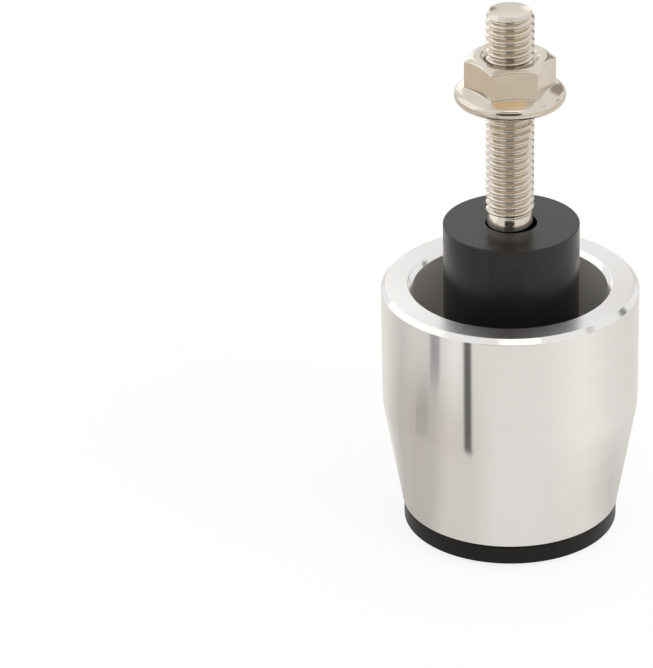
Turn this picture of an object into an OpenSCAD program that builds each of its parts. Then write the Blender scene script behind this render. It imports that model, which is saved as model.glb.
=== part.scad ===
// Bar end weight for a motorbike's handlebar.
// A turned shell is closed at its small end by a black cap and open at the other.
// A stud is screwed into the floor of its recess, and carries a spacer collar and a flange nut.
// The part stands on its cap, with the stud along Z and the origin at the centre of the cap's face.

/* [Shell] */
// Diameter of the shell's straight part
shell_d = 42; // [40:0.5:46]
// Length of the straight part, from the rim to the start of the taper
straight_l = 21; // [16:0.5:28]
// Length of the taper below the straight part
taper_l = 18.6; // [16:0.2:24]
// Diameter of the shell's small end
small_d = 35.6; // [34.6:0.1:38]
// Radius that blends the straight part into the taper
blend_r = 15; // [5:1:25]
// Chamfer round the outside of the rim
rim_chamfer = 0.8; // [0.3:0.1:1.5]
// Diameter of the recess that goes over the end of the bar
recess_d = 31.7; // [30:0.1:33]
// Depth of the recess
recess_depth = 22; // [18:0.5:23]
// Chamfer round the mouth of the recess
mouth_chamfer = 0.8; // [0.3:0.1:1.2]
// Bevel that breaks the edge of the small end
edge_bevel = 0.25; // [0.1:0.05:0.5]

/* [Cap] */
// Diameter of the cap
cap_d = 35.3; // [33.5:0.1:36.5]
// Height of the cap's side, without the bevel round its face
cap_side_h = 3.1; // [2.4:0.1:4]
// Height of the bevel round the cap's face
cap_bevel_h = 0.8; // [0.4:0.1:1.2]
// Width of the bevel round the cap's face
cap_bevel_w = 1.4; // [0.6:0.1:2]
// Bevel round the back edge of the cap
cap_back_bevel = 0.25; // [0.1:0.05:0.5]
// Thickness of the cap's plate, which the windows go through
plate_t = 2.1; // [1.5:0.1:2.6]
// Diameter of the spigot on the shell that centres the cap
spigot_d = 29; // [26:0.5:30]
// Clearance round the spigot
spigot_gap = 0.05; // [0.02:0.01:0.1]
// Number of curved windows in the plate
window_count = 3; // [2:1:5]
// Width of a window
window_w = 4.4; // [2:0.2:5]
// Diameter of the circle along the middle of the windows
window_pcd = 18; // [16:0.5:20]
// Angle of plate between the ends of two windows
window_web_a = 26; // [20:1:40]

/* [Collar] */
// Diameter of the collar, which matches the outside of the bar
collar_d = 22.1; // [19:0.1:22.4]
// Length of the collar, from the floor of the recess
collar_l = 32.7; // [28:0.1:38]
// Diameter of the hole through the collar
collar_hole_d = 8.4; // [8.2:0.1:9]
// Bevel on the collar's edges
collar_bevel = 0.1; // [0.05:0.05:0.4]
// How far the loose collar stands to the right of the stud
collar_shift = 0.2; // [0:0.05:0.2]
// How far the loose collar stands behind the stud
collar_set_back = 0.15; // [0:0.05:0.15]

/* [Stud] */
// Diameter of the thread over its crests
thread_d = 7.8; // [7.7:0.05:8]
// Pitch of the thread
thread_pitch = 1.25; // [1:0.25:1.5]
// Width of the flats on the thread's crests and in its roots
thread_flat = 0.2; // [0.15:0.01:0.25]
// Turn of the upper thread about its axis, in degrees
thread_turn = 196; // [0:1:359]
// Length of thread screwed into the shell
root_l = 12; // [10:0.5:13]
// Height of the start of the upper thread above the collar
thread_start = 2; // [1:0.25:4]
// Length of the upper thread, with its tip
thread_l = 35; // [32:0.5:45]
// Diameter of the plain shank between the threads
shank_d = 7.5; // [7.2:0.05:7.6]
// Diameter of the stud's end faces
tip_d = 6.1; // [5.8:0.05:6.4]
// Length of the bevel behind an end face
tip_l = 1.8; // [1:0.1:2]
// Depth of the dish in the upper end face
dish_depth = 0.25; // [0.1:0.05:0.5]
// Clearance round the thread, in the shell and in the nut
thread_gap = 0.05; // [0.02:0.01:0.1]
// Depth of hole left below the stud's lower end
hole_spare = 1.5; // [0.5:0.25:2]

/* [Flange nut] */
// Height of the nut, flange and hexagon
nut_h = 7.8; // [7:0.1:9]
// Width across the hexagon's flats
nut_af = 12.75; // [12.7:0.05:13.2]
// Diameter of the flat ring on top of the hexagon
nut_top_d = 11.8; // [11:0.1:12.4]
// Slope of the bevel on top of the hexagon, in degrees
nut_top_slope = 30; // [10:1:35]
// Diameter of the flange
flange_d = 17.9; // [17:0.1:19]
// Thickness of the flange's rounded edge
flange_edge_t = 2.3; // [1:0.1:2.4]
// Slope of the flange's upper side, in degrees
flange_slope = 20; // [15:1:38]
// Diameter of the countersink at each end of the nut's hole
nut_mouth_d = 9.4; // [8.6:0.1:10]
// Turns of thread between the start of the upper thread and the nut
nut_turns = 15.6; // [1:0.1:16]
// Turn of the hexagon from square to the front, in degrees
nut_turn = 6.5; // [0:0.5:60]

/* [Hidden] */
$fn = 96;
blend_steps = 6;
edge_steps = 8;
window_steps = 12;
thread_steps = 16;
thread_angle = 60;
crest_spare = 0.01;
drill_point = 118;

shell_r = shell_d / 2;
small_r = small_d / 2;
recess_r = recess_d / 2;
cap_r = cap_d / 2;
thread_r = thread_d / 2;
shank_r = shank_d / 2;
tip_r = tip_d / 2;
root_r = thread_r - (thread_pitch / 2 - thread_flat) / tan(thread_angle / 2);
cap_h = cap_side_h + cap_bevel_h;
taper_top = cap_h + taper_l;
rim_z = taper_top + straight_l;
floor_z = rim_z - recess_depth;
taper_a = atan((shell_r - small_r) / taper_l);
blend_rise = blend_r * tan(taper_a / 2);
collar_top = floor_z + collar_l;
root_z = floor_z - root_l;
thread_z = collar_top + thread_start;
stud_top = thread_z + thread_l;
nut_z = thread_z + nut_turns * thread_pitch;

// The shell's wall, from its small end round the rim to the floor of its recess
module shell_section() {
    polygon(concat(
        [[0, cap_h], [small_r - edge_bevel, cap_h],
         [small_r + edge_bevel * tan(taper_a), cap_h + edge_bevel]],
        [for (i = [0:blend_steps])
            let (a = -taper_a * (1 - i / blend_steps))
            [shell_r + blend_r * (cos(a) - 1), taper_top + blend_rise + blend_r * sin(a)]],
        [[shell_r, rim_z - rim_chamfer], [shell_r - rim_chamfer, rim_z],
         [recess_r + mouth_chamfer, rim_z], [recess_r, rim_z - mouth_chamfer],
         [recess_r, floor_z], [0, floor_z]]
    ));
}

// The tapped hole in the floor, with the point that the drill leaves
module tapped_hole() {
    hole_r = thread_r + thread_gap;
    hole_z = root_z - hole_spare;
    point_h = hole_r / tan(drill_point / 2);
    translate([0, 0, hole_z]) cylinder(h = floor_z - hole_z + 1, r = hole_r);
    translate([0, 0, hole_z - point_h]) cylinder(h = point_h, r1 = 0, r2 = hole_r);
}

module shell() {
    color([0.85, 0.84, 0.82])
    difference() {
        union() {
            rotate_extrude() shell_section();
            translate([0, 0, plate_t]) cylinder(h = cap_h - plate_t, d = spigot_d);
        }
        tapped_hole();
    }
}

// Points along an arc about a centre, from one angle to another
function arc_points(centre, r, from, to, steps) = [
    for (i = [0:steps])
        let (a = from + (to - from) * i / steps)
        centre + r * [cos(a), sin(a)]
];

// One curved window, with round ends, along an arc that starts on X
module window(arc) {
    middle_r = window_pcd / 2;
    end_r = window_w / 2;
    translate([0, 0, -1])
    linear_extrude(height = plate_t + 2)
    polygon(concat(
        arc_points([0, 0], middle_r + end_r, 0, arc, window_steps),
        arc_points(middle_r * [cos(arc), sin(arc)], end_r, arc, arc + 180, window_steps),
        arc_points([0, 0], middle_r - end_r, arc, 0, window_steps),
        arc_points([middle_r, 0], end_r, 180, 360, window_steps)
    ));
}

module end_cap() {
    seat_r = spigot_d / 2 + spigot_gap;
    end_a = asin(window_w / window_pcd);
    pitch_a = 360 / window_count;
    color([0.09, 0.09, 0.09])
    difference() {
        rotate_extrude() polygon([
            [0, 0], [cap_r - cap_bevel_w, 0], [cap_r, cap_bevel_h],
            [cap_r, cap_h - cap_back_bevel], [cap_r - cap_back_bevel, cap_h],
            [seat_r, cap_h], [seat_r, plate_t], [0, plate_t]
        ]);
        for (i = [0:window_count - 1])
            rotate([0, 0, i * pitch_a]) window(pitch_a - window_web_a - 2 * end_a);
    }
}

// A rod with a right-hand thread, from one height up to another, with turns to spare.
// Its crests stand proud, for an outline to trim them to a true cylinder.
module threaded_rod(from, to) {
    proud_r = thread_r / cos(180 / thread_steps) + crest_spare;
    flank = (proud_r - root_r) * tan(thread_angle / 2);
    ridge = [
        [root_r, thread_flat / 2], [proud_r, thread_flat / 2 + flank],
        [proud_r, thread_pitch - thread_flat / 2 - flank], [root_r, thread_pitch - thread_flat / 2]
    ];
    low = from - 2 * thread_pitch;
    last = thread_steps * ceil((to - low) / thread_pitch + 1);
    points = [
        for (i = [0:last + thread_steps], p = ridge)
            let (a = 360 * i / thread_steps)
            [p[0] * cos(a), p[0] * sin(a), low + p[1] + thread_pitch * i / thread_steps]
    ];
    foot = len(points);
    head = foot + 1;
    polyhedron(
        concat(points, [[0, 0, low], [0, 0, low + thread_pitch * (last / thread_steps + 1)]]),
        concat(
            [for (i = [0:last - 1], j = [0:3])
                let (a = 4 * i + j, b = j < 3 ? a + 1 : 4 * (i + thread_steps))
                each [[a, b, a + 4], [a + 4, b, b + 4]]],
            [for (i = [0:thread_steps - 1]) [foot, 4 * i, 4 * i + 4]],
            [for (j = [0:2]) [foot, j + 1, j]],
            [[foot, 4 * thread_steps, 3]],
            [for (i = [last:last + thread_steps - 1]) [head, 4 * i + 4, 4 * i]],
            [for (j = [0:2]) [head, 4 * last + j, 4 * last + j + 1]],
            [[head, 4 * last + 3, 4 * (last + thread_steps)]]
        )
    );
}

// The upper thread grows out of the shank over its first turn, and is bevelled at the top
module upper_thread() {
    intersection() {
        rotate([0, 0, thread_turn]) threaded_rod(thread_z, stud_top);
        rotate_extrude() polygon([
            [0, thread_z - thread_pitch], [2 * shank_r - thread_r, thread_z - thread_pitch],
            [thread_r, thread_z + thread_pitch], [thread_r, stud_top - tip_l],
            [tip_r, stud_top], [0, stud_top]
        ]);
    }
}

// The lower thread, which the shell hides, is a plain cylinder over its crests
module stud() {
    dish_r = (tip_r * tip_r + dish_depth * dish_depth) / (2 * dish_depth);
    color([0.78, 0.75, 0.71])
    difference() {
        union() {
            upper_thread();
            rotate_extrude() polygon([
                [0, root_z], [tip_r, root_z], [thread_r, root_z + tip_l],
                [thread_r, floor_z - (thread_r - shank_r)], [shank_r, floor_z],
                [shank_r, thread_z], [2 * root_r - shank_r, thread_z + 2 * thread_pitch],
                [0, thread_z + 2 * thread_pitch]
            ]);
        }
        translate([0, 0, stud_top - dish_depth + dish_r]) sphere(r = dish_r);
    }
}

module collar() {
    collar_r = collar_d / 2;
    hole_r = collar_hole_d / 2;
    color([0.11, 0.11, 0.11])
    translate([collar_shift, collar_set_back, floor_z])
    rotate_extrude() polygon([
        [hole_r, 0], [collar_r - collar_bevel, 0], [collar_r, collar_bevel],
        [collar_r, collar_l - collar_bevel], [collar_r - collar_bevel, collar_l],
        [hole_r, collar_l]
    ]);
}

// The hexagon is cut by a turned outline as wide as the flange, which bevels its top
module nut_hexagon() {
    wide_r = flange_d / 2;
    top_r = nut_top_d / 2;
    drop = (wide_r - top_r) * tan(nut_top_slope);
    intersection() {
        cylinder(h = nut_h, d = nut_af / cos(30), $fn = 6);
        rotate_extrude() polygon([
            [0, 0], [wide_r, 0], [wide_r, nut_h - drop], [top_r, nut_h], [0, nut_h]
        ]);
    }
}

// The flange has a flat seat, a round edge and an upper side that rises to the hexagon
module nut_flange() {
    edge_r = flange_edge_t / 2;
    centre_r = flange_d / 2 - edge_r;
    cone_r = centre_r + edge_r * sin(flange_slope);
    cone_z = edge_r + edge_r * cos(flange_slope);
    inner_r = nut_af / 2;
    rotate_extrude() polygon(concat(
        [[0, 0]],
        [for (i = [0:edge_steps])
            let (a = -90 + (180 - flange_slope) * i / edge_steps)
            [centre_r + edge_r * cos(a), edge_r + edge_r * sin(a)]],
        [[inner_r, cone_z + (cone_r - inner_r) * tan(flange_slope)],
         [0, cone_z + (cone_r - inner_r) * tan(flange_slope)]]
    ));
}

module flange_nut() {
    bore_r = thread_r + thread_gap;
    mouth_h = nut_mouth_d / 2 - bore_r;
    color([0.78, 0.75, 0.71])
    translate([0, 0, nut_z])
    rotate([0, 0, nut_turn])
    difference() {
        union() {
            nut_hexagon();
            nut_flange();
        }
        translate([0, 0, -1]) cylinder(h = nut_h + 2, r = bore_r);
        cylinder(h = mouth_h, r1 = nut_mouth_d / 2, r2 = bore_r);
        translate([0, 0, nut_h - mouth_h]) cylinder(h = mouth_h, r1 = bore_r, r2 = nut_mouth_d / 2);
    }
}

shell();
end_cap();
stud();
collar();
flange_nut();
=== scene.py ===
# Looks of a turned bar end weight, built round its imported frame.
import bpy
from math import asin, atan, cos, degrees, pi, radians, sin, sqrt, tan
from mathutils import Matrix, Vector


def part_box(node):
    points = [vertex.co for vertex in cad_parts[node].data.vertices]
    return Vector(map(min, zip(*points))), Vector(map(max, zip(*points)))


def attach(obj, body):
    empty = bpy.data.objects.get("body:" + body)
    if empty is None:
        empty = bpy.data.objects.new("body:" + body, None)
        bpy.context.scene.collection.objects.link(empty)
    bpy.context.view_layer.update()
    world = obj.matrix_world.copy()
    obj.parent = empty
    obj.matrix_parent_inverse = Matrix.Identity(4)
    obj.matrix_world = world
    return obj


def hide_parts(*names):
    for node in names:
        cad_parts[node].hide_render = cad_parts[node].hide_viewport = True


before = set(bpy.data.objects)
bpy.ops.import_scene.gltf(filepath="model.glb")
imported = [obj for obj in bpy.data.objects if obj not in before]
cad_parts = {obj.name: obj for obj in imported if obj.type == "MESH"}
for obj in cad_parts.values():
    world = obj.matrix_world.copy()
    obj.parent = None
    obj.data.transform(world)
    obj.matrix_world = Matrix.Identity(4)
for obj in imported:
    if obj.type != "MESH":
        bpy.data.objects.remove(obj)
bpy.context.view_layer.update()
mm = 0.001
overshoot = 1.0                      # by which a cutter runs past its piece, in mm
overlap = 0.1                        # by which joined solids run into each other, in mm
shellLow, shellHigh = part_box("shell")
capLow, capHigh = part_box("end_cap")
studLow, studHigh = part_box("stud")
collarLow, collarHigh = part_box("collar")
collarMiddle = (collarLow + collarHigh) / 2     # it stands loose, a little to one side
nutLow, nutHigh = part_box("flange_nut")
print("frame loaded")


# Modelling helpers

def clearSelection():
    if bpy.context.object and bpy.context.object.mode != "OBJECT":
        bpy.ops.object.mode_set(mode="OBJECT")
    bpy.ops.object.select_all(action="DESELECT")


def pick(piece):
    clearSelection()
    piece.select_set(True)
    bpy.context.view_layer.objects.active = piece


def drawOutline(name, points):  # a chain of edges through (radius, height) points, in millimetres
    clearSelection()
    radius, height = points[0]
    bpy.ops.mesh.primitive_plane_add(size=mm, location=(radius * mm, 0, height * mm))
    piece = bpy.context.object
    piece.name = name
    bpy.ops.object.transform_apply(location=True, rotation=False, scale=False)
    bpy.ops.object.mode_set(mode="EDIT")
    bpy.ops.mesh.merge(type="CENTER")
    for nextRadius, nextHeight in points[1:]:
        step = ((nextRadius - radius) * mm, 0, (nextHeight - height) * mm)
        bpy.ops.mesh.extrude_vertices_move(TRANSFORM_OT_translate={"value": step})
        radius, height = nextRadius, nextHeight
    bpy.ops.object.mode_set(mode="OBJECT")
    return piece


def mergeAndTurnOut(gap=1e-7):
    bpy.ops.mesh.select_all(action="SELECT")
    bpy.ops.mesh.remove_doubles(threshold=gap)
    bpy.ops.mesh.normals_make_consistent(inside=False)


def turned(name, points, sides=256):  # spins an outline about Z, as a lathe would
    piece = drawOutline(name, points)
    bpy.ops.object.mode_set(mode="EDIT")
    bpy.ops.mesh.select_all(action="SELECT")
    bpy.ops.mesh.spin(steps=sides, angle=2 * pi, center=(0, 0, 0), axis=(0, 0, 1))
    mergeAndTurnOut()
    bpy.ops.object.mode_set(mode="OBJECT")
    return piece


def applyModifier(piece, kind, **settings):
    pick(piece)
    modifier = piece.modifiers.new(kind.lower(), kind)
    for key, value in settings.items():
        setattr(modifier, key, value)
    bpy.ops.object.modifier_apply(modifier=modifier.name)


def combine(piece, tool, operation):
    applyModifier(piece, "BOOLEAN", object=tool, operation=operation, solver="EXACT")
    bpy.data.objects.remove(tool)


def breakEdges(piece, width, steps=3, angle=24):  # rounds the sharp edges and keeps the faces flat
    applyModifier(piece, "BEVEL", width=width * mm, segments=steps, limit_method="ANGLE",
                  angle_limit=radians(angle), use_clamp_overlap=True)
    pick(piece)
    bpy.ops.object.shade_smooth()
    applyModifier(piece, "WEIGHTED_NORMAL", mode="FACE_AREA", weight=50)


def arc(centre, radius, start, end, steps):  # points on an outline's arc, angles in degrees
    angles = [radians(start + (end - start) * i / steps) for i in range(steps + 1)]
    return [(centre[0] + radius * cos(a), centre[1] + radius * sin(a)) for a in angles]


def smoothUnder(piece, angle):  # edges that turn more than this stay sharp
    pick(piece)
    bpy.ops.object.shade_smooth_by_angle(angle=radians(angle))


def hand(piece, node, body, material):  # gives a finished piece to the frame
    piece.data.materials.clear()
    piece.data.materials.append(material)
    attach(piece, body)
    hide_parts(node)


# Materials

def newMaterial(name):
    material = bpy.data.materials.new(name)
    material.use_nodes = True
    tree = material.node_tree
    return material, tree, tree.nodes["Principled BSDF"]


def addNode(tree, kind, **settings):
    node = tree.nodes.new(kind)
    for key, value in settings.items():
        setattr(node, key, value)
    return node


def maths(tree, operation, *values):
    node = addNode(tree, "ShaderNodeMath", operation=operation)
    for socket, value in zip(node.inputs, values):
        if isinstance(value, (int, float)):
            socket.default_value = value
        else:
            tree.links.new(value, socket)
    return node.outputs[0]


def ramp(tree, source, stops):  # stops are (position, (red, green, blue))
    node = addNode(tree, "ShaderNodeValToRGB")
    elements = node.color_ramp.elements
    while len(elements) < len(stops):
        elements.new(0.5)
    for element, (position, colour) in zip(elements, stops):
        element.position = position
        element.color = (*colour, 1)
    tree.links.new(source, node.inputs[0])
    return node.outputs[0]


def latheMarks(tree, perMetre, around, axisX=0.0):  # noise drawn out along the cut
    coords = addNode(tree, "ShaderNodeTexCoord")
    centred = addNode(tree, "ShaderNodeMapping")
    centred.inputs["Location"].default_value = (-axisX, 0, 0)
    tree.links.new(coords.outputs["Object"], centred.inputs["Vector"])
    parts = addNode(tree, "ShaderNodeSeparateXYZ")
    tree.links.new(centred.outputs[0], parts.inputs[0])
    x, y, z = parts.outputs
    squares = maths(tree, "ADD", maths(tree, "MULTIPLY", x, x), maths(tree, "MULTIPLY", y, y))
    radius = maths(tree, "SQRT", squares)
    nearAxis = 1e-5                  # metres, and nothing is divided by less
    divisor = maths(tree, "MAXIMUM", radius, nearAxis)
    cosine = maths(tree, "DIVIDE", x, divisor)
    sine = maths(tree, "DIVIDE", y, divisor)
    place = addNode(tree, "ShaderNodeCombineXYZ")
    tree.links.new(maths(tree, "MULTIPLY", radius, perMetre), place.inputs[0])
    tree.links.new(maths(tree, "MULTIPLY", z, perMetre), place.inputs[1])
    tree.links.new(maths(tree, "MULTIPLY", cosine, around), place.inputs[2])
    noise = addNode(tree, "ShaderNodeTexNoise", noise_dimensions="4D")
    noise.inputs["Scale"].default_value = 1.0
    noise.inputs["Detail"].default_value = 3.0
    tree.links.new(place.outputs[0], noise.inputs["Vector"])
    tree.links.new(maths(tree, "MULTIPLY", sine, around), noise.inputs["W"])
    return noise.outputs["Fac"]


def grain(tree, perMetre, detail):
    coords = addNode(tree, "ShaderNodeTexCoord")
    noise = addNode(tree, "ShaderNodeTexNoise")
    noise.inputs["Scale"].default_value = perMetre
    noise.inputs["Detail"].default_value = detail
    tree.links.new(coords.outputs["Object"], noise.inputs["Vector"])
    return noise.outputs["Fac"]


def setTone(tree, surface, source, dark, light):  # a colour that drifts between two tones
    tone = ramp(tree, source, [(0.3, dark), (0.7, light)])
    tree.links.new(tone, surface.inputs["Base Color"])


def setRoughness(tree, surface, source, low, high):
    node = addNode(tree, "ShaderNodeMapRange")
    node.inputs["To Min"].default_value = low
    node.inputs["To Max"].default_value = high
    tree.links.new(source, node.inputs["Value"])
    tree.links.new(node.outputs[0], surface.inputs["Roughness"])


def addBump(tree, surface, height, strength, depth):  # depth in mm
    bump = addNode(tree, "ShaderNodeBump")
    bump.inputs["Strength"].default_value = strength
    bump.inputs["Distance"].default_value = depth * mm
    tree.links.new(height, bump.inputs["Height"])
    tree.links.new(bump.outputs[0], surface.inputs["Normal"])


def followCut(tree, surface, amount):  # stretches the highlights across the lathe's cut
    tangent = addNode(tree, "ShaderNodeTangent", direction_type="RADIAL", axis="Z")
    tree.links.new(tangent.outputs[0], surface.inputs["Tangent"])
    surface.inputs["Anisotropic"].default_value = amount
    surface.inputs["Anisotropic Rotation"].default_value = 0.25     # of a full turn


aluminiumSpec = {
    "toolMarks": (9000, 0.35),       # per metre, and how much they change round the axis
    "broadMarks": (500, 0.5),
    "dark": (0.79, 0.78, 0.765),
    "light": (0.81, 0.80, 0.785),
    "sideRoughness": (0.12, 0.19),   # least and most
    "rimRoughness": (0.20, 0.27),
    "stretch": 0.85,                 # of the highlights
    "bump": 0.05,
    "depth": 0.01,                   # of the tool marks, in mm
}


def turnedAluminium(name, roughness):
    a = aluminiumSpec
    material, tree, surface = newMaterial(name)
    fine = latheMarks(tree, *a["toolMarks"])
    broad = latheMarks(tree, *a["broadMarks"])
    setTone(tree, surface, broad, a["dark"], a["light"])
    surface.inputs["Metallic"].default_value = 1.0
    setRoughness(tree, surface, fine, *roughness)
    followCut(tree, surface, a["stretch"])
    addBump(tree, surface, fine, a["bump"], a["depth"])
    return material


boreSpec = {                         # left as the tool cut it, so duller than the outside
    "toolMarks": (5000, 0.5),
    "dark": (0.86, 0.83, 0.77),
    "light": (0.93, 0.90, 0.84),
    "metallic": 0.2,
    "roughness": (0.25, 0.33),
    "stretch": 0.6,
    "bump": 0.1,
    "depth": 0.01,
}


def turnedBore():
    b = boreSpec
    material, tree, surface = newMaterial("plain turned bore")
    fine = latheMarks(tree, *b["toolMarks"])
    setTone(tree, surface, fine, b["dark"], b["light"])
    surface.inputs["Metallic"].default_value = b["metallic"]
    setRoughness(tree, surface, fine, *b["roughness"])
    followCut(tree, surface, b["stretch"])
    addBump(tree, surface, fine, b["bump"], b["depth"])
    return material


anodisingSpec = {
    "toolMarks": (6000, 0.5),
    "specks": 7500,                  # per metre
    "speckEdge": (0.77, 0.80),       # of the noise, where plain black ends and a speck is full
    "speckGain": 0.05,               # by which a speck is lighter
    "bump": 0.04,
    "depth": 0.01,
}


def blackAnodised(name, colour, roughness, refraction, axisX=0.0):
    b = anodisingSpec
    material, tree, surface = newMaterial(name)
    fine = latheMarks(tree, *b["toolMarks"], axisX)
    specks = grain(tree, b["specks"], detail=0.0)
    plainEnd, speckStart = b["speckEdge"]
    speck = tuple(channel + b["speckGain"] for channel in colour)
    tree.links.new(ramp(tree, specks, [(0.0, colour), (plainEnd, colour), (speckStart, speck)]),
                   surface.inputs["Base Color"])
    surface.inputs["IOR"].default_value = refraction
    setRoughness(tree, surface, fine, *roughness)
    addBump(tree, surface, fine, b["bump"], b["depth"])
    return material


nickelSpec = {
    "clouds": 260,                   # per metre
    "pits": 1500,
    "dark": (0.62, 0.57, 0.495),
    "light": (0.68, 0.625, 0.55),
    "roughness": (0.09, 0.17),
    "bump": 0.10,
    "depth": 0.03,                   # of the pits, in mm
}


def nickelPlate():
    n = nickelSpec
    material, tree, surface = newMaterial("nickel plate")
    clouds = grain(tree, n["clouds"], detail=5.0)
    pits = grain(tree, n["pits"], detail=3.0)
    setTone(tree, surface, clouds, n["dark"], n["light"])
    surface.inputs["Metallic"].default_value = 1.0
    setRoughness(tree, surface, clouds, *n["roughness"])
    addBump(tree, surface, pits, n["bump"], n["depth"])
    return material


shellMetal = turnedAluminium("turned aluminium", aluminiumSpec["sideRoughness"])
rimMetal = turnedAluminium("faced aluminium", aluminiumSpec["rimRoughness"])
boreMetal = turnedBore()
capBlack = blackAnodised("cap anodising", colour=(0.004, 0.0038, 0.0036),
                         roughness=(0.28, 0.34), refraction=1.31)
collarBlack = blackAnodised("collar anodising", colour=(0.005, 0.0049, 0.0047),
                            roughness=(0.26, 0.32), refraction=1.45, axisX=collarMiddle.x)
nickel = nickelPlate()
print("materials made")


# Shell

shellSpec = {
    "radius": shellHigh.x / mm,
    "foot": capHigh.z / mm,          # where the shell meets the cap
    "rim": shellHigh.z / mm,
    "straight": 21.0,                # length of the straight part
    "smallRadius": 17.8,             # at the cap
    "blendRadius": 15.0,             # between taper and straight part
    "rimChamfer": 0.8,
    "recessRadius": 15.85,
    "mouthChamfer": 0.8,
    "spigotRadius": 14.5,
    "spigotEnd": shellLow.z / mm,
    "holeRadius": 3.95,              # tapped hole in the floor
    "holeSpare": 1.5,                # hole left below the stud
    "drillPoint": 118,               # degrees
    "footBevel": 0.25,
    "edgeBreak": 0.05,
    "blendSteps": 6,
}


def makeShell():
    s = shellSpec
    floor = collarLow.z / mm
    taperTop = s["rim"] - s["straight"]
    slope = (s["radius"] - s["smallRadius"]) / (taperTop - s["foot"])
    taperAngle = degrees(atan(slope))
    blendHeight = taperTop + s["blendRadius"] * tan(radians(taperAngle / 2))
    blendCentre = (s["radius"] - s["blendRadius"], blendHeight)
    blend = arc(blendCentre, s["blendRadius"], -taperAngle, 0, s["blendSteps"])
    holeBottom = studLow.z / mm - s["holeSpare"]
    drillTip = holeBottom - s["holeRadius"] / tan(radians(s["drillPoint"] / 2))
    outline = [
        (0, s["spigotEnd"]), (s["spigotRadius"], s["spigotEnd"]), (s["spigotRadius"], s["foot"]),
        (s["smallRadius"] - s["footBevel"], s["foot"]),
        (s["smallRadius"] + s["footBevel"] * slope, s["foot"] + s["footBevel"]),
        *blend,
        (s["radius"], s["rim"] - s["rimChamfer"]), (s["radius"] - s["rimChamfer"], s["rim"]),
        (s["recessRadius"] + s["mouthChamfer"], s["rim"]),
        (s["recessRadius"], s["rim"] - s["mouthChamfer"]),
        (s["recessRadius"], floor), (s["holeRadius"], floor),
        (s["holeRadius"], holeBottom), (0, drillTip),
    ]
    shell = turned("turned_shell", outline)
    breakEdges(shell, s["edgeBreak"])
    hand(shell, "shell", "weight", shellMetal)
    shell.data.materials.append(boreMetal)
    shell.data.materials.append(rimMetal)
    boreIndex, rimIndex = 1, 2
    wall = s["recessRadius"] + 0.1   # just past the recess
    top = s["rim"] - 0.01            # just under the rim
    level = 0.99                     # least upward share of a level face's normal
    for face in shell.data.polygons:
        x, y, z = face.center / mm
        if x * x + y * y < wall * wall and z > s["foot"]:
            face.material_index = boreIndex
        elif z > top and face.normal.z > level:
            face.material_index = rimIndex


makeShell()
print("shell turned")


# End cap

capSpec = {
    "radius": capHigh.x / mm,
    "height": capHigh.z / mm,
    "bevelHeight": 0.8,
    "bevelWidth": 1.4,
    "backBevel": 0.25,
    "seatRadius": 14.55,             # goes over the shell's spigot
    "plate": 2.1,
    "windows": 3,
    "windowWidth": 4.4,
    "windowCircle": 18.0,            # diameter along the windows' middle
    "web": 26.0,                     # degrees between two windows
    "sideSteps": 16,
    "endSteps": 12,
    "flatAngle": 0.2,                # degrees, faces that turn less are joined
    "edgeBreak": 0.08,
}


def windowCutter(turn):  # a curved slot with round ends, as a flat loop drawn upwards
    c = capSpec
    middle = c["windowCircle"] / 2
    half = c["windowWidth"] / 2
    endAngle = degrees(asin(c["windowWidth"] / c["windowCircle"]))
    length = 360 / c["windows"] - c["web"] - 2 * endAngle
    sideSteps, endSteps = c["sideSteps"], c["endSteps"]
    farEnd = (middle * cos(radians(length)), middle * sin(radians(length)))
    loop = arc((0, 0), middle + half, 0, length, sideSteps)[:-1]
    loop += arc(farEnd, half, length, length + 180, endSteps)[:-1]
    loop += arc((0, 0), middle - half, length, 0, sideSteps)[:-1]
    loop += arc((middle, 0), half, 180, 360, endSteps)[:-1]
    clearSelection()
    bpy.ops.mesh.primitive_circle_add(vertices=len(loop), radius=mm, fill_type="NGON")
    cutter = bpy.context.object
    spin = Matrix.Rotation(radians(turn), 3, "Z")
    for corner, (x, y) in zip(cutter.data.vertices, loop):
        corner.co = spin @ Vector((x, y, -overshoot)) * mm
    bpy.ops.object.mode_set(mode="EDIT")
    bpy.ops.mesh.select_all(action="SELECT")
    lift = (0, 0, (c["plate"] + 2 * overshoot) * mm)
    bpy.ops.mesh.extrude_region_move(TRANSFORM_OT_translate={"value": lift})
    mergeAndTurnOut()
    bpy.ops.object.mode_set(mode="OBJECT")
    return cutter


def makeCap():
    c = capSpec
    outline = [
        (0, 0), (c["radius"] - c["bevelWidth"], 0), (c["radius"], c["bevelHeight"]),
        (c["radius"], c["height"] - c["backBevel"]), (c["radius"] - c["backBevel"], c["height"]),
        (c["seatRadius"], c["height"]), (c["seatRadius"], c["plate"]), (0, c["plate"]),
    ]
    cap = turned("black_end_cap", outline)
    pick(cap)
    bpy.ops.object.mode_set(mode="EDIT")
    bpy.ops.mesh.select_all(action="SELECT")
    bpy.ops.mesh.dissolve_limited(angle_limit=radians(c["flatAngle"]))
    bpy.ops.object.mode_set(mode="OBJECT")
    for i in range(c["windows"]):
        combine(cap, windowCutter(i * 360 / c["windows"]), "DIFFERENCE")
    breakEdges(cap, c["edgeBreak"])
    hand(cap, "end_cap", "weight", capBlack)


makeCap()
print("cap turned and pierced")


# Collar

collarSpec = {
    "radius": (collarHigh.x - collarLow.x) / 2 / mm,
    "holeRadius": 4.2,
    "bevel": 0.1,
    "edgeBreak": 0.03,
}


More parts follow.
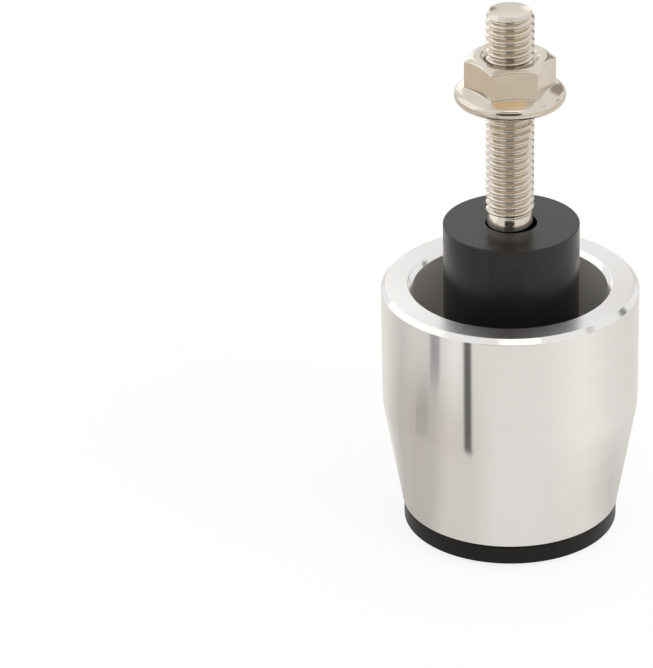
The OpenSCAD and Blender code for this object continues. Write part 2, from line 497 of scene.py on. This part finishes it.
def makeCollar():
    c = collarSpec
    low, high = collarLow.z / mm, collarHigh.z / mm
    outline = [
        (c["holeRadius"], low), (c["radius"] - c["bevel"], low), (c["radius"], low + c["bevel"]),
        (c["radius"], high - c["bevel"]), (c["radius"] - c["bevel"], high), (c["holeRadius"], high),
        (c["holeRadius"], low),
    ]
    collar = turned("black_collar", outline)
    bpy.ops.transform.translate(value=(collarMiddle.x, collarMiddle.y, 0))
    bpy.ops.object.transform_apply(location=True, rotation=False, scale=False)
    breakEdges(collar, c["edgeBreak"])
    hand(collar, "collar", "weight", collarBlack)


makeCollar()
print("collar turned")


# Stud

studSpec = {
    "pitch": 1.25,
    "flank": 30.0,                   # degrees
    "crestRadius": studHigh.x / mm,
    "crestRound": 0.21,
    "rootRound": 0.2,
    "turn": 196,                     # degrees, of the upper thread about its axis
    "shankRadius": 3.75,
    "shoulderRadius": 3.6,           # the shank narrows in this round up to the thread
    "shoulderAngle": 27,             # degrees
    "threadStart": 2.0,              # start of the upper thread, above the collar
    "tipRadius": 3.3,
    "tipLength": 1.15,
    "dish": 0.35,                    # depth of the dish in the end face
    "crestRoom": 0.02,               # between the crests and what trims the ends
    "shankDepth": 1.5,               # the shank's reach down into the lower thread
    "shankSpare": 0.5,               # and up into the upper one
    "stepsPerTurn": 64,
    "spareTurns": 2,                 # below a thread's start, trimmed off again
    "sides": 96,
    "dishSteps": 8,
    "shoulderSteps": 8,
    "smoothAngle": 23,               # degrees
}
sharpDepth = studSpec["pitch"] / 2 / tan(radians(studSpec["flank"]))    # of the V, before it is round
roundings = studSpec["crestRound"] + studSpec["rootRound"]
studSpec["rootRadius"] = studSpec["crestRadius"] - sharpDepth + roundings


def threadOutline(room):  # one pitch, from root over crest to root, grown by some room for a tap
    s = studSpec
    rootSteps, crestSteps = 4, 8
    rootCentre = s["rootRadius"] + s["rootRound"] + room
    crestCentre = s["crestRadius"] - s["crestRound"] + room
    lean = 90 - s["flank"]
    return [
        *arc((rootCentre, 0), s["rootRound"], 180, 180 - lean, rootSteps),
        *arc((crestCentre, s["pitch"] / 2), s["crestRound"], -lean, lean, crestSteps),
        *arc((rootCentre, s["pitch"]), s["rootRound"], 180 + lean, 180, rootSteps),
    ]


def threadedRod(name, low, high, turn=0, room=0):  # a right-hand thread, a little longer than asked
    s = studSpec
    start = low - s["spareTurns"] * s["pitch"]
    rod = drawOutline(name, [(radius, start + height) for radius, height in threadOutline(room)])
    turns = int((high - start) / s["pitch"]) + s["spareTurns"] + 1
    applyModifier(rod, "SCREW", axis="Z", angle=2 * pi, screw_offset=s["pitch"] * mm,
                  iterations=turns, steps=s["stepsPerTurn"], render_steps=s["stepsPerTurn"],
                  use_merge_vertices=False)
    rod.rotation_euler.z = radians(turn)
    pick(rod)
    bpy.ops.object.transform_apply(location=False, rotation=True, scale=False)
    bpy.ops.object.mode_set(mode="EDIT")
    mergeAndTurnOut(gap=2e-6)
    bpy.ops.object.mode_set(mode="OBJECT")
    middle = (low + high) / 2 * mm
    for isTop in (False, True):  # each ragged end is drawn in to a point on the axis
        bpy.ops.object.mode_set(mode="EDIT")
        bpy.ops.mesh.select_all(action="DESELECT")
        bpy.ops.mesh.select_non_manifold()
        bpy.ops.object.mode_set(mode="OBJECT")
        for v in rod.data.vertices:
            v.select = v.select and (v.co.z > middle) == isTop
        for e in rod.data.edges:
            ends = [rod.data.vertices[i].co.z > middle for i in e.vertices]
            e.select = e.select and ends == [isTop, isTop]
        bpy.ops.object.mode_set(mode="EDIT")
        bpy.ops.mesh.extrude_region_move()
        bpy.ops.mesh.merge(type="CENTER")
    bpy.ops.mesh.select_all(action="SELECT")
    bpy.ops.mesh.normals_make_consistent(inside=False)
    bpy.ops.object.mode_set(mode="OBJECT")
    return rod


def makeStud():
    s = studSpec
    top, bottom, floor = studHigh.z / mm, studLow.z / mm, collarLow.z / mm
    crest, shank, root, tip = s["crestRadius"], s["shankRadius"], s["rootRadius"], s["tipRadius"]
    clear = crest + s["crestRoom"]
    tipLength = s["tipLength"] * (clear - tip) / (crest - tip)
    threadLow = collarHigh.z / mm + s["threadStart"]
    trimLow = threadLow - overlap
    dishRadius = (tip * tip + s["dish"] * s["dish"]) / (2 * s["dish"])
    dishCentre = top - s["dish"] + dishRadius
    dishRadii = [tip * i / s["dishSteps"] for i in range(s["dishSteps"], -1, -1)]
    dish = [(radius, dishCentre - sqrt(dishRadius ** 2 - radius ** 2)) for radius in dishRadii]
    stud = threadedRod("threaded_stud", threadLow, top, s["turn"])
    combine(stud, turned("envelope", [
        (0, trimLow), (root, trimLow), (clear, trimLow + clear - root),
        (clear, top - tipLength), *dish,
    ], s["sides"]), "INTERSECT")
    lower = threadedRod("lower_thread", bottom, floor)
    combine(lower, turned("envelope", [
        (0, bottom), (tip, bottom), (clear, bottom + tipLength), (clear, floor - (clear - shank)),
        (shank - overlap, floor + overlap), (0, floor + overlap),
    ], s["sides"]), "INTERSECT")
    shoulderHeight = threadLow - s["shoulderRadius"] * sin(radians(s["shoulderAngle"]))
    shoulderCentre = (shank - s["shoulderRadius"], shoulderHeight)
    shoulder = arc(shoulderCentre, s["shoulderRadius"], 0, s["shoulderAngle"], s["shoulderSteps"])
    shankLow, shankHigh = floor - s["shankDepth"], threadLow + s["shankSpare"]
    combine(stud, turned("shank", [
        (0, shankLow), (shank, shankLow), *shoulder, (root - overlap, shankHigh), (0, shankHigh),
    ], s["sides"]), "UNION")
    combine(stud, lower, "UNION")
    smoothUnder(stud, s["smoothAngle"])
    hand(stud, "stud", "weight", nickel)


makeStud()
print("stud threaded")


# Flange nut

nutSpec = {
    "acrossFlats": 12.75,
    "topRadius": 5.9,                # flat ring on top
    "topSlope": 30,                  # degrees
    "turn": 6.5,                     # degrees from square to the front
    "flangeRadius": nutHigh.x / mm,
    "edgeThickness": 2.3,            # of the flange's round edge
    "flangeSlope": 20,               # degrees
    "boreRadius": 3.95,
    "mouthRadius": 4.7,
    "innerRadius": 3.33,             # inside its thread
    "threadRoom": 0.05,              # between its thread and the stud's
    "flangeInset": 0.5,              # by which the flange runs in under the hexagon's flats
    "edgeBreak": 0.10,
    "breakAngle": 20,                # degrees
    "edgeSteps": 12,
    "sides": 192,
    "boreSides": 96,
}


def makeNut():
    n = nutSpec
    low, high = nutLow.z / mm, nutHigh.z / mm
    height = high - low
    cornerRadius = n["acrossFlats"] / 2 / cos(pi / 6)
    square = 30                      # degrees, brings a flat to the front in place of a corner
    clearSelection()
    bpy.ops.mesh.primitive_cylinder_add(vertices=6, radius=cornerRadius * mm, depth=height * mm,
                                        location=(0, 0, (low + height / 2) * mm),
                                        rotation=(0, 0, radians(n["turn"] + square)))
    nut = bpy.context.object
    nut.name = "nickel_flange_nut"
    bpy.ops.object.transform_apply(location=True, rotation=True, scale=False)
    drop = (n["flangeRadius"] - n["topRadius"]) * tan(radians(n["topSlope"]))
    hexEnvelope = [
        (0, low - overshoot), (n["flangeRadius"], low - overshoot), (n["flangeRadius"], high - drop),
        (n["topRadius"], high), (0, high),
    ]
    combine(nut, turned("envelope", hexEnvelope, n["sides"]), "INTERSECT")
    edge = n["edgeThickness"] / 2
    centre = (n["flangeRadius"] - edge, low + edge)
    slope = radians(n["flangeSlope"])
    innerRadius = n["acrossFlats"] / 2 - n["flangeInset"]
    coneRadius = centre[0] + edge * sin(slope)
    coneHeight = centre[1] + edge * cos(slope)
    innerHeight = coneHeight + (coneRadius - innerRadius) * tan(slope)
    flangeOutline = [
        (0, low), *arc(centre, edge, -90, 90 - n["flangeSlope"], n["edgeSteps"]),
        (innerRadius, innerHeight), (0, innerHeight),
    ]
    combine(nut, turned("flange", flangeOutline, n["sides"]), "UNION")
    mouth = n["mouthRadius"] - n["boreRadius"]
    cutterRadius = n["mouthRadius"] + overshoot
    boreOutline = [
        (0, low - overshoot), (cutterRadius, low - overshoot), (n["boreRadius"], low + mouth),
        (n["boreRadius"], high - mouth), (cutterRadius, high + overshoot), (0, high + overshoot),
    ]
    combine(nut, turned("bore", boreOutline, n["boreSides"]), "DIFFERENCE")
    breakEdges(nut, n["edgeBreak"], steps=2, angle=n["breakAngle"])
    deep = n["mouthRadius"] - n["innerRadius"]
    seatRadius = n["boreRadius"] + overlap
    sleeve = turned("nut_thread", [
        (seatRadius, low + mouth), (n["boreRadius"], low + mouth), (n["innerRadius"], low + deep),
        (n["innerRadius"], high - deep), (n["boreRadius"], high - mouth),
        (seatRadius, high - mouth), (seatRadius, low + mouth),
    ], n["boreSides"])
    threadLow = collarHigh.z / mm + studSpec["threadStart"]
    tap = threadedRod("tap", threadLow, studHigh.z / mm, studSpec["turn"], n["threadRoom"])
    combine(sleeve, tap, "DIFFERENCE")
    smoothUnder(sleeve, studSpec["smoothAngle"])
    nut.select_set(True)
    bpy.context.view_layer.objects.active = nut
    bpy.ops.object.join()
    hand(nut, "flange_nut", "nut", nickel)


makeNut()
print("nut made")


# Picture: floor, light and camera

pictureSpec = {
    "size": (653, 668),                    # pixels
    "target": Vector((0, 0, 0.0435)),      # middle of the rim
    "targetPixel": (509.964, 281.875),     # where it shows
    "distance": 0.63991,
    "elevation": 26.5174,                  # degrees
    "lens": 211.93,                        # mm
    "sensor": 36.0,
    "clipStart": 0.05,
}


def addCamera():
    p = pictureSpec
    width, height = p["size"]
    tilt = radians(p["elevation"])
    focal = p["lens"] / p["sensor"] * height
    aim = Vector((p["targetPixel"][0] - width / 2, height / 2 - p["targetPixel"][1], -focal))
    level = Matrix.Rotation(pi / 2 - tilt, 3, "X")
    swing = aim.rotation_difference(Vector((0, 0, -1))).to_matrix()
    place = p["target"] + p["distance"] * Vector((0, -cos(tilt), sin(tilt)))
    lens = bpy.data.cameras.new("camera")
    lens.lens = p["lens"]
    lens.sensor_width = p["sensor"]
    lens.clip_start = p["clipStart"]
    camera = bpy.data.objects.new("camera", lens)
    bpy.context.scene.collection.objects.link(camera)
    camera.matrix_world = Matrix.Translation(place) @ (level @ swing).to_4x4()
    bpy.context.scene.camera = camera


floorSpec = {
    "radius": 4.0,                   # metres
    "sides": 96,
    "drop": 0.02,                    # below the cap, in mm
    "colour": (0.9, 0.895, 0.885),
    "white": 0.85,                   # share of plain white, so that the shadow stays faint
    "paintedReflection": 0.85,                # share of the painted reflection that metal shows of the floor
    "round": [                       # what metal shows, a painted reflection of light and shade round the object, by direction in degrees: front 0, right 90
        (-130, (0.84, 0.81, 0.77)),
        (-100, (0.63, 0.60, 0.58)),
        (-88, (0.76, 0.74, 0.71)),
        (-62, (0.77, 0.75, 0.73)),
        (-46, (1.04, 1.03, 1.01)),
        (-28, (0.86, 0.83, 0.80)),
        (28, (0.87, 0.84, 0.81)),
        (60, (1.0, 0.97, 0.93)),
        (95, (0.86, 0.83, 0.80)),
        (125, (0.79, 0.765, 0.73)),
    ],
}
shadeSpecs = [                       # soft shades in it, by direction and by distance in metres
    {
        "colour": (0.90, 0.82, 0.73),
        "round": [(-150, 0), (-138, 1), (138, 1), (150, 0)],
        "reach": [(0.12, 0), (0.18, 1), (0.40, 1), (0.75, 0)],
    },
    {
        "colour": (0.62, 0.58, 0.54),
        "round": [(-125, 0), (-100, 0.5), (-85, 1), (-42, 1), (-30, 0.6), (-10, 0)],
        "reach": [(0.030, 0.75), (0.050, 0.85), (0.070, 1), (0.082, 0.5), (0.096, 0)],
    },
    {
        "colour": (0.70, 0.69, 0.68),
        "round": [(15, 0), (50, 0.35), (90, 1), (115, 0.6), (150, 0.5), (175, 0)],
        "reach": [(0.026, 1), (0.033, 0.8), (0.041, 0.3), (0.055, 0)],
    },
]


def byTurn(stops):  # from degrees to the share of a full turn
    return [(degree / 360 + 0.5, colour) for degree, colour in stops]


def greys(stops):
    return [(place, (share, share, share)) for place, share in stops]


def paintedReflectionTint(tree):  # painted reflection: the light and shade that metal shows of the floor, by place
    coords = addNode(tree, "ShaderNodeTexCoord")
    parts = addNode(tree, "ShaderNodeSeparateXYZ")
    tree.links.new(coords.outputs["Object"], parts.inputs[0])
    x, y = parts.outputs["X"], parts.outputs["Y"]
    angle = maths(tree, "ARCTAN2", x, maths(tree, "MULTIPLY", y, -1.0))
    direction = maths(tree, "MULTIPLY_ADD", angle, 0.5 / pi, 0.5)     # the front is at 0.5
    distance = addNode(tree, "ShaderNodeVectorMath", operation="LENGTH")
    tree.links.new(coords.outputs["Object"], distance.inputs[0])
    tint = ramp(tree, direction, byTurn(floorSpec["round"]))
    for shade in shadeSpecs:
        around = ramp(tree, direction, byTurn(greys(shade["round"])))
        outward = ramp(tree, distance.outputs["Value"], greys(shade["reach"]))
        mix = addNode(tree, "ShaderNodeMix", data_type="RGBA", blend_type="MULTIPLY")
        share, first, second = mix.inputs[0], mix.inputs[6], mix.inputs[7]     # its colour sockets
        tree.links.new(maths(tree, "MULTIPLY", around, outward), share)
        tree.links.new(tint, first)
        second.default_value = (*shade["colour"], 1)
        tint = mix.outputs[2]
    return tint


def mixShaders(tree, share, first, second):
    mix = addNode(tree, "ShaderNodeMixShader")
    for source, socket in zip((share, first, second), mix.inputs):
        tree.links.new(source, socket)
    return mix.outputs[0]


def addFloor():
    f = floorSpec
    clearSelection()
    bpy.ops.mesh.primitive_circle_add(vertices=f["sides"], radius=f["radius"], fill_type="NGON")
    bpy.ops.transform.translate(value=(0, 0, -f["drop"] * mm))
    bpy.ops.object.transform_apply(location=True, rotation=False, scale=False)
    floor = bpy.context.object
    floor.name = "floor"
    material, tree, surface = newMaterial("white floor")
    surface.inputs["Base Color"].default_value = (*f["colour"], 1)
    surface.inputs["Roughness"].default_value = 0.9
    surface.inputs["Specular IOR Level"].default_value = 0.0
    white = addNode(tree, "ShaderNodeEmission")
    # what glossy rays see of the floor is a glow with light and shade painted into it, a painted
    # reflection
    paintedReflection = addNode(tree, "ShaderNodeEmission")
    tree.links.new(paintedReflectionTint(tree), paintedReflection.inputs["Color"])
    path = addNode(tree, "ShaderNodeLightPath")
    seen = maths(tree, "ADD", path.outputs["Is Camera Ray"], path.outputs["Is Transmission Ray"])
    glossy = path.outputs["Is Glossy Ray"]
    above = surface.outputs[0]
    for share, ray, glow in ((f["white"], seen, white), (f["paintedReflection"], glossy, paintedReflection)):
        above = mixShaders(tree, maths(tree, "MULTIPLY", ray, share), above, glow.outputs[0])
    side = addNode(tree, "ShaderNodeNewGeometry")
    clear = addNode(tree, "ShaderNodeBsdfTransparent")     # from below, so that the cap's face shows
    both = mixShaders(tree, side.outputs["Backfacing"], above, clear.outputs[0])
    tree.links.new(both, tree.nodes["Material Output"].inputs["Surface"])
    floor.data.materials.append(material)


worldSpec = {
    "level": (1, 1, 1),              # sideways
    "high": (1, 0.995, 0.985),
    "overhead": (0.64, 0.61, 0.57),
    "highAt": 0.9,                   # upward share of the direction
    "overheadAt": 0.985,
}


def addWorld():
    w = worldSpec
    world = bpy.data.worlds.new("studio")
    world.use_nodes = True
    bpy.context.scene.world = world
    tree = world.node_tree
    coords = addNode(tree, "ShaderNodeTexCoord")
    parts = addNode(tree, "ShaderNodeSeparateXYZ")
    tree.links.new(coords.outputs["Generated"], parts.inputs[0])
    sky = ramp(tree, parts.outputs["Z"], [
        (0.0, w["level"]), (w["highAt"], w["high"]), (w["overheadAt"], w["overhead"]),
        (1.0, w["overhead"]),
    ])
    tree.links.new(sky, tree.nodes["Background"].inputs["Color"])
    tree.nodes["Background"].inputs["Strength"].default_value = 1.0


def facing(place, aim, axis):  # the turn that points an axis from a place to an aim
    return (Vector(aim) - Vector(place)).to_track_quat(axis, "Y").to_matrix().to_4x4()


def addCard(name, size, place, shade, strength=1.0, aim=(0, 0, 0.05)):  # a glowing card that only reflections show, a painted reflection
    clearSelection()
    bpy.ops.mesh.primitive_plane_add(size=1)
    card = bpy.context.object
    card.name = name
    width, height = size
    stretch = Matrix.Diagonal((width, height, 1, 1))
    card.data.transform(Matrix.Translation(place) @ facing(place, aim, "Z") @ stretch)
    material, tree = newMaterial(name + " paint")[:2]
    glow = addNode(tree, "ShaderNodeEmission")
    glow.inputs["Color"].default_value = (*shade, 1)
    glow.inputs["Strength"].default_value = strength
    tree.links.new(glow.outputs[0], tree.nodes["Material Output"].inputs["Surface"])
    card.data.materials.append(material)
    card.visible_camera = False
    card.visible_diffuse = False
    card.visible_shadow = False
    card.visible_transmission = False


def addStanding(name, azimuth, width, low, high, shade, distance=62):  # beside the shell, in mm
    angle = radians(azimuth)
    place = Vector((sin(angle) * distance, -cos(angle) * distance, (low + high) / 2)) * mm
    addCard(name, (width * mm, (high - low) * mm), place, shade, aim=(0, 0, place.z))


def addLying(name, left, right, front, back, shade, lift=0.3):  # on the floor, edges in mm
    place = Vector(((left + right) / 2, (front + back) / 2, lift)) * mm
    size = ((right - left) * mm, (back - front) * mm)
    addCard(name, size, place, shade, aim=(place.x, place.y, 1))


def addLamp(name, size, place, power, aim=(0, 0, 0.045)):
    lamp = bpy.data.lights.new(name, "AREA")
    lamp.shape = "RECTANGLE"
    lamp.size, lamp.size_y = size
    lamp.energy = power
    holder = bpy.data.objects.new(name, lamp)
    bpy.context.scene.collection.objects.link(holder)
    holder.matrix_world = Matrix.Translation(place) @ facing(place, aim, "-Z")
    holder.visible_glossy = False


addCamera()
addFloor()
addWorld()
addLamp("key", size=(0.5, 0.5), place=(0.55, -0.35, 0.75), power=3.0)
# painted reflections: glowing cards that only metal mirrors, dark ones for painted shade and pale
# ones for painted highlights
addCard("dark_front", size=(0.80, 0.42), place=(-0.03, -0.85, 0.20), shade=(0.06, 0.058, 0.055))
addCard("dark_high", size=(0.50, 0.16), place=(-0.03, -0.70, 0.66), shade=(0.05, 0.05, 0.05))
addLying("dark_table", left=-220, right=160, front=-800, back=-300, shade=(0.03, 0.03, 0.03))
addCard("front_softbox", size=(0.42, 0.25), place=(0.10, -0.45, 0.86), shade=(1, 0.995, 0.98),
        strength=1.5)
addCard("warm_softbox", size=(0.42, 0.22), place=(0.03, -0.24, 0.90), shade=(1, 0.80, 0.52),
        strength=1.2)
addCard("left_softbox", size=(1.0, 0.9), place=(-0.80, 0.15, 0.42), shade=(1, 0.99, 0.98),
        strength=1.32)
addCard("back_softbox", size=(0.29, 0.60), place=(-0.265, 0.85, 0.36), shade=(1, 0.99, 0.98),
        strength=1.5)
addCard("back_gap", size=(0.36, 0.46), place=(0.30, 0.84, 0.38), shade=(0.44, 0.39, 0.35))
addCard("right_gap", size=(0.08, 0.14), place=(0.57, 0.33, 0.34), shade=(0.12, 0.13, 0.15))
addCard("high_gap", size=(0.10, 0.08), place=(0.62, 0.0, 0.66), shade=(0.35, 0.36, 0.38))
addStanding("dark_stripe", azimuth=-30.1, width=4.9, low=0, high=34, shade=(0.11, 0.11, 0.115),
            distance=50)
addStanding("dark_patch", azimuth=-59, width=9.5, low=12, high=24, shade=(0.33, 0.33, 0.34))
# painted reflections: a grey spot and a warm patch on the floor at the left, and a pale patch behind
# on the right
addLying("left_dark_reflection", left=-74, right=-57, front=-27, back=-11, shade=(0.40, 0.38, 0.36))
addLying("left_warm_reflection", left=-260, right=-125, front=-20, back=130, shade=(0.82, 0.72, 0.61))
addLying("right_pale_reflection", left=90, right=220, front=60, back=200, shade=(0.92, 0.88, 0.83))
bpy.context.scene.view_settings.view_transform = "Standard"
print("studio set")
